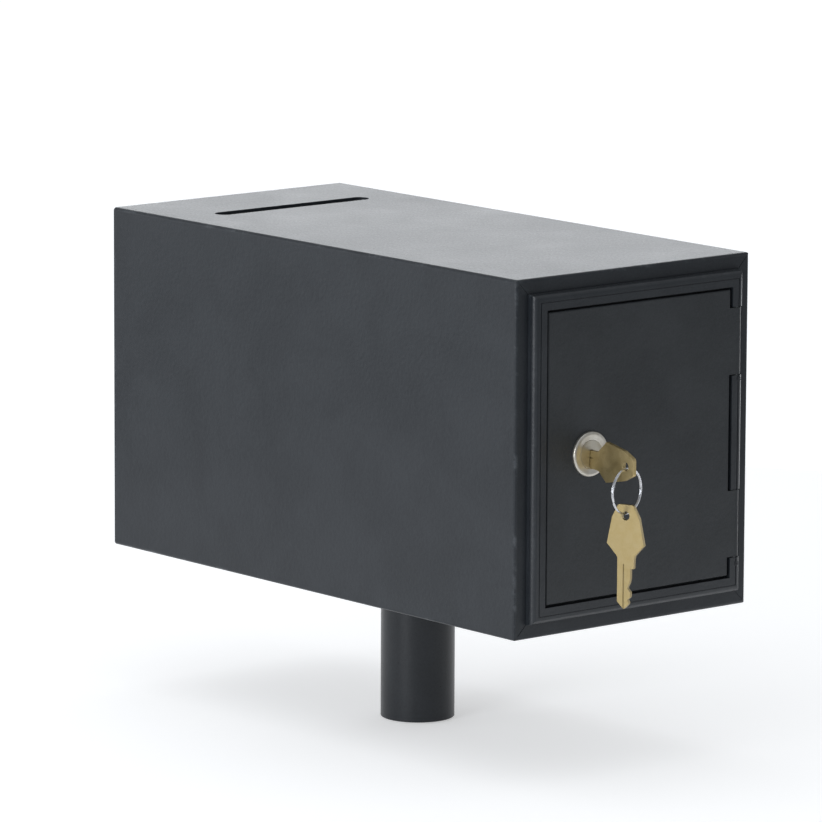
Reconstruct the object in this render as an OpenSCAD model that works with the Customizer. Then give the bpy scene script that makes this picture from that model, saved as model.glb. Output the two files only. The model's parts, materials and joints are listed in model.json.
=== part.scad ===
// Drop box on a post: a folded steel box with a slot in its top and a keyed cast door in its front.
// Millimetres. +Z is up, the door faces -Y and hinges on the +X side.
// The origin is on the post's axis at its lower end.

/* [Box] */
// Width of the box from side to side
body_w = 153; // [125:0.5:220]
// Depth of the box from its front face to its back face
body_l = 320; // [220:1:420]
// Height of the box
body_h = 178; // [145:0.5:260]
// Thickness of the folded sheet
sheet = 1.6; // [1.2:0.1:2.2]
// Outside radius of the folded edges
edge_r = 1.8; // [1.8:0.1:3]
// Depth of the turned-in flanges of the back panel
back_flange = 12; // [6:1:25]

/* [Slot] */
// Length of the slot across the top
slot_l = 100; // [60:1:110]
// Width of the slot
slot_w = 10; // [5:0.5:14]
// Distance from the back of the box to the middle of the slot
slot_back = 53; // [30:1:90]

/* [Door frame] */
// Width of the box's front return that shows around the frame
return_show = 7.5; // [5:0.5:10]
// How far the front return runs in under the frame's moulding
return_lap = 4.5; // [3:0.5:5]
// Width of the frame's moulding
frame_face = 8; // [7.5:0.1:10]
// Height of the moulding above the front of the box
frame_proud = 5.2; // [5:0.1:6]
// Height of the moulding's straight outer flank
flank_h = 2; // [1.5:0.1:2.4]
// Width of the ledge that the door closes against
ledge_w = 3.5; // [3:0.1:5]
// Width of the four clamps that draw the frame onto the box
clamp_w = 14; // [10:1:20]
// Distance of the clamps from the middle of the door, up and down
clamp_z = 52; // [48:1:60]
// Radius of the frame screws' shanks
screw_r = 2; // [1.5:0.1:2.2]

/* [Door] */
// Gap between the door and its frame
door_gap = 1.2; // [0.8:0.1:2]
// Thickness of the door's plate
door_t = 3.2; // [2.5:0.1:3.4]
// Height of the door's front above the front of the box
door_proud = 4.8; // [4.6:0.1:5]
// Depth of the stiffening rib round the door's back
rib_h = 5; // [2:0.5:8]
// Angle to which the door opens
door_open = 105; // [90:1:105]

/* [Hinge] */
// Distance of the hinge pin's axis in from the frame's outer edge
hinge_inset = 3.6; // [3.4:0.1:4.2]
// Height of the hinge pin's axis above the front of the box
hinge_proud = 2.7; // [2.6:0.1:2.9]
// Radius of the door's knuckles
knuckle_r = 2.3; // [2:0.1:2.4]
// Length of each of the door's two knuckles
knuckle_len = 33.6; // [20:0.1:42]
// Distance of the knuckles' outer ends from the frame's inner edge
knuckle_inset = 10.6; // [6:0.1:14]
// Radius of the hinge pin
pin_r = 1.1; // [0.8:0.05:1.3]

/* [Lock] */
// Distance of the lock's axis in from the door's free edge
lock_inset = 26.8; // [22:0.1:32]
// Radius of the lock's head
head_r = 11.2; // [11:0.1:14]
// Thickness of the lock's head
head_t = 2; // [1.5:0.1:3]
// Radius of the lock's threaded barrel
barrel_r = 9.5; // [9:0.1:10]
// Length of the barrel behind the head
barrel_l = 26.4; // [25:0.1:34]
// Radius of the plug that the key turns
plug_r = 7; // [6.8:0.1:7.5]
// Length of the cam from the lock's axis to its tip
cam_len = 31; // [30:0.5:32]
// Width of the cam
cam_w = 13; // [10:0.5:14]

/* [Keys] */
// Length of a key from the end of its bow to its shoulder
key_bow_l = 31.5; // [28:0.5:38]
// Length of a key's blade from its shoulder to its tip
key_blade_l = 20.3; // [16:0.1:22]
// Thickness of a key
key_t = 2; // [1.6:0.1:2.2]
// Radius of the hole in a key's bow
key_hole_r = 2.1; // [1.8:0.1:2.4]
// Radius of the key ring, to the middle of its wire
ring_r = 11.1; // [9:0.1:16]
// Radius of the key ring's wire
wire_r = 0.7; // [0.5:0.05:0.8]
// Angle of the ring's plane to the door
ring_turn = 10; // [0:1:20]
// Angle of the spare key's face to the door
spare_turn = 68; // [60:1:90]

/* [Post] */
// Length from the post's lower end to the bottom of the box
post_show = 75; // [40:1:400]
// Radius of the post
post_r = 19.05; // [16:0.05:25.4]
// Wall of the post's tube
post_wall = 2.1; // [1.5:0.1:4]
// Distance of the post's axis behind the middle of the box
post_back = 4; // [0:1:40]
// Side of the square plate on top of the post
flange_side = 84; // [80:1:110]
// Thickness of that plate
flange_t = 5; // [4:0.5:8]
// Distance between bolts along each side of the plate
bolt_pitch = 62; // [60:1:70]
// Radius of the bolts that hold the box to the plate
bolt_r = 3; // [2.5:0.5:4]
// Thickness of the stiffening plate inside the box's floor
doubler_t = 2; // [1:0.5:4]

/* [Hidden] */
$fn = 64;
slip = 0.05;       // radial clearance of a turning or sliding fit
seat = 0.02;       // radial clearance of a fixed pin or screw
through = 1;       // how far a cutter runs past the face that it leaves
far = 30;          // longer than any part of the frame is deep

paint = [0.20, 0.22, 0.24];
cast_paint = [0.17, 0.19, 0.21];
post_paint = [0.15, 0.17, 0.18];
zinc = [0.62, 0.64, 0.66];
nickel = [0.74, 0.73, 0.70];
brass = [0.74, 0.62, 0.38];

front_y = -(body_l / 2 + post_back);
mid_z = post_show + body_h / 2;
top_z = post_show + body_h;

frame_w = body_w - 2 * return_show;
frame_h = body_h - 2 * return_show;
open_w = frame_w - 2 * frame_face;
open_h = frame_h - 2 * frame_face;
door_w = open_w - 2 * door_gap;
door_h = open_h - 2 * door_gap;
window_w = frame_w - 2 * return_lap;
window_h = frame_h - 2 * return_lap;
door_back = door_proud - door_t;
ledge_proud = door_back - 0.3;

hinge_x = frame_w / 2 - hinge_inset;
knuckle_z = open_h / 2 - knuckle_inset - knuckle_len / 2;
knuckle_gap = 0.4;
pin_low = -frame_h / 2 + 1.5;
pin_high = open_h / 2 + 2;
pin_screw_r = 1.2;

lock_x = lock_inset - door_w / 2;
head_y = -door_proud - head_t;
barrel_end = barrel_l - door_proud;
plug_face = head_y + 0.2;
plug_end = barrel_end + 0.4;
barrel_flat = barrel_r - 1.5;
tail_side = 7;
cam_t = 2;
cam_washer_t = 1;
neck_end = plug_end - 0.8;
pad_t = 1.2;
washer_t = 0.8;
nut_t = 3.5;
nut_across = 2 * barrel_r + 5;

key_drop = 2.3;
key_seat = plug_face - 0.1;
blade_h = 7.2;
blade_spine = 4.3;
hole_s = 5.6;
bow_w = 20.2;
keyway_end = key_seat + key_blade_l + 0.9;
screw_root = keyway_end + 0.9;
cam_screw_r = 1.7;
wafer_t = 1;
wafer_pitch = 2.8;
wafer_first = -1.5;
wafer_count = 5;
hole_y = key_seat - key_bow_l + hole_s;
hang = key_hole_r - wire_r - 0.3;
ring_z = -key_drop - hang - ring_r;
spare_z = ring_z - ring_r - hang;

clamp_t = 2.5;
boss_r = 3.1;
boss_x = open_w / 2 - 0.1;
foot_t = 4;
clamp_reach = (body_w / 2 - sheet - 2.5) - (open_w / 2 - ledge_w + 0.3);

washer_r = 2.1 * bolt_r;
mount_washer_t = 1.6;
doubler_side = flange_side + 16;
weld_leg = 4;
weld_prep = 1;
tube_top = post_show - flange_t;

// ---------------------------------------------------------------- helpers

// Moves its children to the middle of the box's front face, where -Y is proud of the face
module at_front() translate([0, front_y, mid_z]) children();

// Moves its children to the lock's axis on the front face
module at_lock() at_front() translate([lock_x, 0, 0]) children();

// Extrudes a profile drawn in X and Z from y0 back to y1
module along_y(y0, y1) translate([0, y1, 0]) rotate([90, 0, 0]) linear_extrude(y1 - y0) children();

// A round bar or cone along Y from y0 back to y1
module rod_y(y0, y1, r, r_back) translate([0, y0, 0]) rotate([-90, 0, 0])
    cylinder(h = y1 - y0, r1 = r, r2 = is_undef(r_back) ? r : r_back);

// A rectangle with round corners
module round_rect(w, h, r) {
    square([w - 2 * r, h], center = true);
    square([w, h - 2 * r], center = true);
    for (x = [-1, 1], y = [-1, 1]) translate([x * (w / 2 - r), y * (h / 2 - r)]) circle(r);
}

// A block whose long edges and front edges are round and whose back is square, y from y0 to y1
module folded_block(w, h, y0, y1, r) {
    depth = y1 - y0;
    intersection() {
        along_y(y0, y1) round_rect(w, h, r);
        translate([0, y0 + depth / 2 + r, -h / 2]) linear_extrude(h) round_rect(w, depth + 2 * r, r);
        translate([-w / 2, y0 + depth / 2 + r, 0]) rotate([90, 0, 90])
            linear_extrude(w) round_rect(depth + 2 * r, h, r);
    }
}

// A rectangular ring, mitred at its corners: the child profile runs in from the ring's outer
// edge along its first axis and stands proud of the front face along its second
module mitred_ring(w, h, face) {
    for (turn = [0 : 3]) {
        across = turn % 2 == 0 ? w : h;
        along = turn % 2 == 0 ? h : w;
        rotate([0, 90 * turn, 0]) intersection() {
            translate([-across / 2, 0, 0]) linear_extrude(along, center = true)
                mirror([0, 1]) children();
            along_y(-far, far) polygon([
                [-across / 2, -along / 2], [face - across / 2, face - along / 2],
                [face - across / 2, along / 2 - face], [-across / 2, along / 2]]);
        }
    }
}

// A rectangular tube wall of the given thickness, from y0 back to y1
module wall_ring(w, h, wall, y0, y1) along_y(y0, y1) difference() {
    square([w, h], center = true);
    square([w - 2 * wall, h - 2 * wall], center = true);
}

// Puts its children at the four corners of the post's bolt pattern
module at_bolts() for (x = [-1, 1], y = [-1, 1])
    translate([x * bolt_pitch / 2, y * bolt_pitch / 2, 0]) children();

// ---------------------------------------------------------------- box

// One sheet folded round into top, sides and floor, with its front edges turned in
module box_wrap() color(paint) difference() {
    at_front() difference() {
        folded_block(body_w, body_h, 0, body_l, edge_r);
        folded_block(body_w - 2 * sheet, body_h - 2 * sheet, sheet, body_l + through, edge_r - sheet);
        along_y(-through, 2 * sheet) square([window_w, window_h], center = true);
        for (x = [-1, 1], z = [-1, 1]) mitre_seam(x, z);
        translate([-0.2, 2 * edge_r, -body_h / 2 - through])
            cube([0.4, body_l, through + 0.4]);
    }
    translate([0, front_y + body_l - slot_back, top_z - 2 * sheet]) linear_extrude(3 * sheet) slot_outline();
    at_bolts() translate([0, 0, post_show - through]) cylinder(h = sheet + 2 * through, r = bolt_r + 0.3);
}

// The shallow line where two front returns meet, from the window's corner to the fold
module mitre_seam(x, z) {
    run = sqrt(2) * ((body_w - window_w) / 2 - edge_r - 0.5);
    translate([x * window_w / 2, 0, z * window_h / 2]) rotate([0, -x * z * 45, 0])
        translate([x > 0 ? -through : -run, -through, -0.15]) cube([run + through, through + 0.3, 0.3]);
}

module slot_outline() {
    square([slot_l - slot_w, slot_w], center = true);
    for (x = [-1, 1]) translate([x * (slot_l - slot_w) / 2, 0]) circle(slot_w / 2);
}

// A shallow pan set into the open back and welded there
module back_panel() color(paint) at_front() {
    w = body_w - 2 * sheet;
    h = body_h - 2 * sheet;
    difference() {
        along_y(body_l - back_flange, body_l) round_rect(w, h, edge_r - sheet + 0.3);
        along_y(body_l - back_flange - through, body_l - sheet)
            square([w - 2 * sheet, h - 2 * sheet], center = true);
    }
}

// A stiffening plate on the floor, over the post
module floor_doubler() color(paint) difference() {
    translate([0, 0, post_show + sheet]) linear_extrude(doubler_t)
        round_rect(doubler_side, doubler_side, 6);
    at_bolts() translate([0, 0, post_show]) cylinder(h = far, r = bolt_r + 0.3);
}

// ---------------------------------------------------------------- door frame

// Section of the moulding: a low flank, a quarter round and a flat with a fine quirk between
module moulding() {
    round_r = frame_proud - flank_h;
    round_u = 0.4 + round_r;
    difference() {
        intersection() {
            union() {
                square([frame_face, flank_h]);
                translate([round_u, flank_h]) circle(round_r);
                translate([round_u, 0]) square([frame_face - round_u, frame_proud]);
            }
            square([frame_face, frame_proud]);
        }
        translate([round_u + 0.2, frame_proud - 0.35]) square([0.5, through]);
    }
}

// Room for a door knuckle as it turns from shut to wide open
module knuckle_room() {
    room = knuckle_r + 0.4;
    linear_extrude(knuckle_len + 2 * knuckle_gap, center = true) {
        circle(room);
        translate([hinge_inset - frame_face, -far / 2]) square([frame_face - hinge_inset, far / 2 + hinge_proud]);
        intersection() {
            rotate(door_open) translate([-far / 2, -room]) square([far / 2, 2 * room]);
            translate([0, -far / 2]) square(far / 2);
        }
    }
}

// The cast frame: moulding, ledge and neck in one piece, with the hinge's fixed knuckles
module door_frame() color(cast_paint) at_front() {
    difference() {
        union() {
            mitred_ring(frame_w, frame_h, frame_face) moulding();
            wall_ring(open_w, open_h, ledge_w, -ledge_proud, neck_end);
            clamp_bosses();
        }
        translate([hinge_x, -hinge_proud, 0]) {
            for (z = [-1, 1]) translate([0, 0, z * knuckle_z]) knuckle_room();
            translate([0, 0, pin_low - 2 * far]) cylinder(h = pin_high - pin_low + 2 * far, r = pin_r + seat);
            at_pin_screws() rod_y(-far, 0, pin_screw_r + seat);
        }
        for (x = [-1, 1], z = [-1, 1]) translate([x * boss_x, 0, z * clamp_z])
            rod_y(neck_end - 9, neck_end + through, screw_r + seat);
    }
}

// Round bosses on the neck's outside, which take the frame screws
module clamp_bosses() for (x = [-1, 1], z = [-1, 1]) translate([x * boss_x, 0, z * clamp_z])
    rod_y(0, neck_end, boss_r);

// Stepped clamps that reach from the neck's end to the back of the front returns
module frame_clamps() color(zinc) at_front() for (x = [-1, 1], z = [-1, 1])
    translate([x * (open_w / 2 - ledge_w + 0.3), 0, z * clamp_z]) mirror([x < 0 ? 1 : 0, 0, 0])
        difference() {
            union() {
                translate([0, neck_end, -clamp_w / 2]) cube([clamp_reach, clamp_t, clamp_w]);
                translate([clamp_reach - foot_t, sheet, -clamp_w / 2])
                    cube([foot_t, neck_end - sheet + clamp_t, clamp_w]);
            }
            translate([boss_x - open_w / 2 + ledge_w - 0.3, 0, 0]) rod_y(neck_end - through, far, screw_r + 0.2);
        }

module frame_screws() color(zinc) at_front() for (x = [-1, 1], z = [-1, 1])
    translate([x * boss_x, 0, z * clamp_z]) {
        seat_y = neck_end + clamp_t;
        rod_y(neck_end - 8, seat_y + 0.5, screw_r);
        difference() {
            rod_y(seat_y, seat_y + 2.2, 1.8 * screw_r, 1.5 * screw_r);
            translate([0, seat_y + 1.7, 0]) cross_recess(2 * screw_r);
        }
    }

// A cross-shaped driver recess, open towards +Y
module cross_recess(size) for (turn = [0, 90]) rotate([0, turn, 0])
    translate([-size / 2, -0.6, -0.4]) cube([size, 2, 0.8]);

// ---------------------------------------------------------------- hinge

// Places of the two screws that lock the pin: under the upper knuckle and in the lowest one
module at_pin_screws() for (z = [knuckle_z - knuckle_len / 2 - 2.4, -knuckle_z - knuckle_len / 2 - 3.6])
    translate([0, 0, z]) children();

module hinge_pin() color(zinc) at_front() translate([hinge_x, -hinge_proud, pin_low])
    cylinder(h = pin_high - pin_low - 0.5, r = pin_r);

module pin_screws() color(zinc) at_front() translate([hinge_x, -hinge_proud, 0]) at_pin_screws() {
    rise = frame_proud - hinge_proud;
    difference() {
        rod_y(-rise - 0.3, -pin_r - 0.05, pin_screw_r);
        translate([-2, -rise - 1, -0.2]) cube([4, 1.2, 0.4]);
    }
}

// ---------------------------------------------------------------- door

// Edge of the door's plate, with a rounded front arris
module door_edge() {
    arris = 0.9;
    square([ledge_w + 2, door_t - arris]);
    translate([arris, 0]) square([ledge_w + 2 - arris, door_t]);
    translate([arris, door_t - arris]) circle(arris);
}

// The cast door: plate, rib round the back, pad at the lock and two hinge knuckles
module door_panel() color(cast_paint) at_front() difference() {
    union() {
        translate([0, -door_back, 0]) {
            mitred_ring(door_w, door_h, ledge_w + 2) door_edge();
            translate([-door_w / 2 + ledge_w + 1, -door_t, -door_h / 2 + ledge_w + 1])
                cube([door_w - 2 * ledge_w - 2, door_t, door_h - 2 * ledge_w - 2]);
        }
        wall_ring(door_w - 2 * ledge_w + 0.6, door_h - 2 * ledge_w + 0.6, 1.8, -door_back - 0.5, rib_h - door_back);
        translate([lock_x, 0, 0]) rod_y(-door_back - 0.5, pad_t - door_back, head_r + 3);
        translate([hinge_x, -hinge_proud, 0]) for (z = [-1, 1]) translate([0, 0, z * knuckle_z]) door_knuckle();
    }
    translate([lock_x, 0, 0]) along_y(-far, far) barrel_outline(0.2);
    translate([hinge_x, -hinge_proud, -open_h / 2]) cylinder(h = open_h, r = pin_r + slip);
}

module door_knuckle() {
    reach = hinge_x - door_w / 2 + 2;
    translate([0, 0, -knuckle_len / 2]) cylinder(h = knuckle_len, r = knuckle_r);
    translate([-reach, hinge_proud - door_proud, -knuckle_len / 2]) cube([reach, door_t, knuckle_len]);
}

// ---------------------------------------------------------------- lock

// Outline of the barrel: a circle with a flat on each side, grown all round by the given room
module barrel_outline(room) intersection() {
    circle(barrel_r + room);
    square([2 * (barrel_flat + room), 3 * barrel_r], center = true);
}

// Head and barrel of the lock, bored for the plug
module lock_body() color(nickel) at_lock() difference() {
    union() {
        rod_y(head_y, head_y + 0.7, head_r - 0.7, head_r);
        rod_y(head_y + 0.7, -door_proud, head_r);
        along_y(-door_proud - 0.5, barrel_end) barrel_outline(0);
    }
    rod_y(head_y - through, barrel_end + through, plug_r + slip);
}

module lock_washer() color(zinc) at_lock() difference() {
    rod_y(pad_t - door_back, pad_t - door_back + washer_t, nut_across / 2 + 0.6);
    rod_y(-far, far, barrel_r + 0.1);
    for (tooth = [0 : 15]) rotate([0, tooth * 22.5, 0]) translate([nut_across / 2 + 1, 0, 0])
        rod_y(-far, far, 1.1);
}

module lock_nut() color(zinc) at_lock() difference() {
    nut_y = pad_t - door_back + washer_t;
    intersection() {
        translate([0, nut_y, 0]) rotate([-90, 0, 0])
            cylinder(h = nut_t, r = nut_across / 2 / cos(30), $fn = 6);
        rod_y(nut_y, nut_y + nut_t, nut_across / 2 + 1.4, nut_across / 2 + 0.4);
    }
    rod_y(-far, far, barrel_r + slip);
}

// The plug: keyway, wafer slots, spring pockets and the square tail that drives the cam
module lock_plug() color(brass) at_lock() difference() {
    union() {
        rod_y(plug_face, plug_end, plug_r);
        translate([-tail_side / 2, plug_end - 0.5, -tail_side / 2]) cube([tail_side, cam_t + 0.4, tail_side]);
    }
    translate([-key_t / 2 - 0.2, plug_face - through, -key_drop - (blade_h - blade_spine) - 0.25])
        cube([key_t + 0.4, keyway_end - plug_face + through, blade_h + 0.5]);
    for (k = [0 : wafer_count - 1]) translate([0, wafer_first + k * wafer_pitch, 0]) {
        translate([-2.6, -0.1, -plug_r - through]) cube([5.2, wafer_t + 0.2, 2 * plug_r + 2 * through]);
        translate([2, -0.4, -1.9]) cube([2.7, wafer_t + 0.8, 6]);
    }
    rod_y(screw_root - 0.3, far, cam_screw_r + seat);
}

// Thin wafers with a window for the blade and a lug for the spring
module lock_wafers() color(brass) at_lock() for (k = [0 : wafer_count - 1])
    translate([0, wafer_first + k * wafer_pitch, 0]) difference() {
        union() {
            translate([-2.5, 0, -plug_r + 0.8]) cube([5, wafer_t, 2 * plug_r - 1.6]);
            translate([2, 0, 2.7]) cube([2.5, wafer_t, 1.2]);
        }
        translate([-key_t / 2 - 0.3, -through, -key_drop - (blade_h - blade_spine) - 0.4])
            cube([key_t + 0.6, wafer_t + 2 * through, blade_h + 0.8]);
    }

// One small compression spring under each wafer's lug
module wafer_springs() color(zinc) at_lock() for (k = [0 : wafer_count - 1])
    translate([3.6, wafer_first + wafer_t / 2 + k * wafer_pitch, -1.7]) coil_spring(0.6, 0.25, 10, 4.3);

// A closely wound spring standing on the plane z = 0, as a stack of touching coils
module coil_spring(r, wire, coils, height) {
    rise = (height - 2 * wire) / (coils - 1);
    rotate_extrude() for (k = [0 : coils - 1]) translate([r, wire + rise * k]) circle(wire);
}

// Hangs down from the plug's tail when unlocked and points at the frame when locked
module lock_cam() color(zinc) at_lock() along_y(plug_end, plug_end + cam_t) difference() {
    union() {
        circle(8);
        translate([-cam_w / 2, -cam_len + cam_w / 2]) square([cam_w, cam_len - cam_w / 2]);
        translate([0, -cam_len + cam_w / 2]) circle(cam_w / 2);
    }
    square(tail_side + 0.1, center = true);
}

module cam_washer() color(zinc) at_lock() difference() {
    rod_y(plug_end + cam_t, plug_end + cam_t + cam_washer_t, 6);
    rod_y(0, far, 1.9);
}

module cam_screw() color(zinc) at_lock() {
    screw_y = plug_end + cam_t + cam_washer_t;
    rod_y(screw_root, screw_y + 0.5, cam_screw_r);
    difference() {
        rod_y(screw_y, screw_y + 2.4, 3.5, 2.8);
        translate([0, screw_y + 1.9, 0]) cross_recess(3.6);
    }
}

// ---------------------------------------------------------------- keys

// A flat key: X from the end of its bow to its tip, the cuts on its +Y edge
module key_blank() {
    spine = -blade_spine;
    flat = blade_h - blade_spine;
    tip = key_bow_l + key_blade_l;
    wide = bow_w / 2;
    neck_s = key_bow_l - 6.3;
    difference() {
        linear_extrude(key_t, center = true) difference() {
            polygon([
                [0, -3.4], [0.5, -4.3], [6.5, -7.4], [neck_s - 6.4, -wide + 0.2], [neck_s - 5.4, -wide],
                [neck_s - 4.8, -wide + 0.7], [neck_s, spine - 0.7], [neck_s + 1.2, spine], [tip - 3.6, spine],
                [tip - 0.4, -1.2], [tip, -0.7], [tip - 0.4, -0.1], [tip - 2.6, flat - 0.9],
                [tip - 3.5, flat - 0.8], [tip - 4.8, flat - 1.4], [tip - 6.2, flat], [tip - 8.6, flat],
                [tip - 10.3, flat - 1.5], [tip - 11, flat - 1.5], [tip - 13, flat - 0.5],
                [tip - 15.4, flat], [key_bow_l, flat], [key_bow_l, 4.6], [neck_s + 1.6, 4.8],
                [neck_s, 5.2], [neck_s - 4.8, wide - 0.7], [neck_s - 5.4, wide],
                [neck_s - 6.4, wide - 0.2], [6.5, 7.4], [0.5, 4.3], [0, 3.4]]);
            translate([hole_s, 0]) circle(key_hole_r);
        }
        for (face = [-1, 1]) translate([key_bow_l - 2, spine + blade_h / 2 - 0.4, face * key_t / 2 - 0.45])
            cube([key_blade_l + 3, 0.8, 0.9]);
    }
}

module inserted_key() color(brass) at_lock() translate([0, key_seat - key_bow_l, -key_drop])
    rotate([0, -90, 0]) rotate([0, 0, 90]) key_blank();

module key_ring() color(zinc) at_lock() translate([0, hole_y, ring_z]) rotate([90, 0, ring_turn])
    rotate_extrude() translate([ring_r, 0]) circle(wire_r);

module spare_key() color(brass) at_lock() translate([0, hole_y, spare_z + hole_s])
    rotate([0, 0, -spare_turn]) rotate([90, 0, 0]) rotate([0, 0, -90]) key_blank();

// ---------------------------------------------------------------- post

// The tube's upper end is chamfered for the weld
module post_tube() color(post_paint) difference() {
    union() {
        cylinder(h = tube_top - weld_leg, r = post_r);
        translate([0, 0, tube_top - weld_leg]) cylinder(h = weld_leg, r1 = post_r, r2 = post_r - weld_prep);
    }
    translate([0, 0, -through]) cylinder(h = tube_top + 2 * through, r = post_r - post_wall);
}

module post_flange() color(post_paint) difference() {
    translate([0, 0, tube_top]) linear_extrude(flange_t) round_rect(flange_side, flange_side, 6);
    at_bolts() translate([0, 0, post_show - far]) cylinder(h = 2 * far, r = bolt_r + 0.3);
}

// Fillet weld between the tube and its plate
module post_weld() color(post_paint) translate([0, 0, tube_top]) rotate_extrude()
    polygon([[post_r - weld_prep, 0], [post_r, -weld_leg], [post_r + 1.6, -2.2], [post_r + weld_leg, 0]]);

module mount_washers() color(zinc) at_bolts() translate([0, 0, post_show + sheet + doubler_t]) difference() {
    cylinder(h = mount_washer_t, r = washer_r);
    translate([0, 0, -through]) cylinder(h = mount_washer_t + 2 * through, r = bolt_r + 0.2);
}

module mount_bolts() color(zinc) at_bolts() {
    head_z = post_show + sheet + doubler_t + mount_washer_t;
    nut_h = 1.7 * bolt_r;
    translate([0, 0, post_show - flange_t - nut_h - 1.5])
        cylinder(h = head_z - post_show + flange_t + nut_h + 2, r = bolt_r - seat);
    translate([0, 0, head_z]) cylinder(h = 1.3 * bolt_r, r = 1.67 * bolt_r / cos(30), $fn = 6);
}

module mount_nuts() color(zinc) at_bolts() {
    nut_h = 1.7 * bolt_r;
    translate([0, 0, post_show - flange_t - nut_h]) difference() {
        cylinder(h = nut_h, r = 1.67 * bolt_r / cos(30), $fn = 6);
        translate([0, 0, -through]) cylinder(h = nut_h + 2 * through, r = bolt_r);
    }
}

box_wrap();
back_panel();
floor_doubler();
door_frame();
frame_clamps();
frame_screws();
hinge_pin();
pin_screws();
door_panel();
lock_body();
lock_washer();
lock_nut();
lock_plug();
lock_wafers();
wafer_springs();
lock_cam();
cam_washer();
cam_screw();
inserted_key();
key_ring();
spare_key();
post_tube();
post_flange();
post_weld();
mount_bolts();
mount_washers();
mount_nuts();
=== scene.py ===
import json
import math

import bmesh
import bpy
import numpy as np
from mathutils import Matrix, Vector


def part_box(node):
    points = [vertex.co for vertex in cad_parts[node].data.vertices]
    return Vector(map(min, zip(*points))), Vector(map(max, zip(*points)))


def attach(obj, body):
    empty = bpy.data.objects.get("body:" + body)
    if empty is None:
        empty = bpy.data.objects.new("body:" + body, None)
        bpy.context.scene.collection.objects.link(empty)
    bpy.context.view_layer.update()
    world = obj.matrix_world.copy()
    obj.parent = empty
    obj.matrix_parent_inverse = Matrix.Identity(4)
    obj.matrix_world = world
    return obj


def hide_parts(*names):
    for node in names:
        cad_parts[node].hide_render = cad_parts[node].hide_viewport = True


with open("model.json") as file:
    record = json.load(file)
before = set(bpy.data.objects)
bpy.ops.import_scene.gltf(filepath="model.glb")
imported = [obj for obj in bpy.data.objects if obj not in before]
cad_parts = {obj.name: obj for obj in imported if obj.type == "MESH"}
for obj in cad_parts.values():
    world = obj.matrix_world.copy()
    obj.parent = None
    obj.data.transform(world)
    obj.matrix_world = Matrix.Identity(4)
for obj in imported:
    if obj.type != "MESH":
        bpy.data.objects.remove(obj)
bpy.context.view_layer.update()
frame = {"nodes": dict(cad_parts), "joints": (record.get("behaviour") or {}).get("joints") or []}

MM = 0.001
shell_low, shell_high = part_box("box_wrap")
shell_mid = (shell_low + shell_high) / 2
shell_height = shell_high.z - shell_low.z


# ---------------------------------------------------------------- studio
# A pale round floor and a backdrop that glows low behind the box and gives its top a sheen. A weak
# soft box hangs overhead, and one stands at the left and one behind the left side. The camera
# sees the left side and the front from ten degrees above, through a long lens.

YAW, PITCH, ROLL = math.radians(39.927), math.radians(9.823), 0.0046
LENS, SENSOR_WIDTH = 291.22, 36
HEIGHTS_AWAY, AIM_RIGHT, AIM_UP = 19.059, -0.0373, -0.0263  # in heights of the box
ahead = Vector((math.sin(YAW) * math.cos(PITCH), math.cos(YAW) * math.cos(PITCH),
                -math.sin(PITCH)))
level_right = Vector((math.cos(YAW), -math.sin(YAW), 0))
level_up = level_right.cross(ahead)
camera_right = math.cos(ROLL) * level_right + math.sin(ROLL) * level_up
camera_up = math.cos(ROLL) * level_up - math.sin(ROLL) * level_right
floor_of_box = Vector((shell_mid.x, shell_mid.y, shell_low.z))
aim = floor_of_box + shell_height * (
    Vector((0, 0, 0.5)) + AIM_RIGHT * camera_right + AIM_UP * camera_up)

lens = bpy.data.cameras.new("studio_camera")
lens.lens, lens.sensor_width = LENS, SENSOR_WIDTH
lens.clip_start, lens.clip_end = 0.05, 50
camera = bpy.data.objects.new("studio_camera", lens)
bpy.context.scene.collection.objects.link(camera)
place = Matrix((camera_right, camera_up, -ahead)).transposed().to_4x4()
place.translation = aim - HEIGHTS_AWAY * shell_height * ahead
camera.matrix_world = place
bpy.context.scene.camera = camera


class Signal:
    """A value on its way through a node tree; arithmetic on it adds Math nodes."""

    def __init__(self, tree, socket):
        self.tree, self.socket = tree, socket

    def math(self, operation, *values):
        node = self.tree.nodes.new("ShaderNodeMath")
        node.operation = operation
        for socket, value in zip(node.inputs, values):
            feed(self.tree, socket, value)
        return Signal(self.tree, node.outputs[0])

    def __add__(self, other): return self.math("ADD", self, other)
    def __radd__(self, other): return self.math("ADD", self, other)
    def __sub__(self, other): return self.math("SUBTRACT", self, other)
    def __rsub__(self, other): return self.math("SUBTRACT", other, self)
    def __mul__(self, other): return self.math("MULTIPLY", self, other)
    def __rmul__(self, other): return self.math("MULTIPLY", self, other)
    def __truediv__(self, other): return self.math("DIVIDE", self, other)
    def __pow__(self, other): return self.math("POWER", self, other)
    def __abs__(self): return self.math("ABSOLUTE", self)
    def or_more(self, other): return self.math("MAXIMUM", self, other)

    def ramp(self, low, high):
        """0 at low, 1 at high, smooth between."""
        node = self.tree.nodes.new("ShaderNodeMapRange")
        node.interpolation_type = "SMOOTHSTEP"
        for name, value in (("Value", self), ("From Min", low), ("From Max", high)):
            feed(self.tree, node.inputs[name], value)
        return Signal(self.tree, node.outputs["Result"])


def feed(tree, socket, value):
    """Sets a socket to a number or colour, or links a signal to it."""
    if isinstance(value, Signal):
        tree.links.new(value.socket, socket)
    else:
        socket.default_value = value


class Wiring:
    """A node tree under construction."""

    def __init__(self, tree):
        self.tree = tree

    def node(self, kind, settings=(), sockets=(), output=0):
        """Adds any node: its settings first, then the values or links of its sockets."""
        made = self.tree.nodes.new(kind)
        for name, value in dict(settings).items():
            setattr(made, name, value)
        for name, value in dict(sockets).items():
            feed(self.tree, made.inputs[name], value)
        return Signal(self.tree, made.outputs[output]) if made.outputs else None


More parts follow.
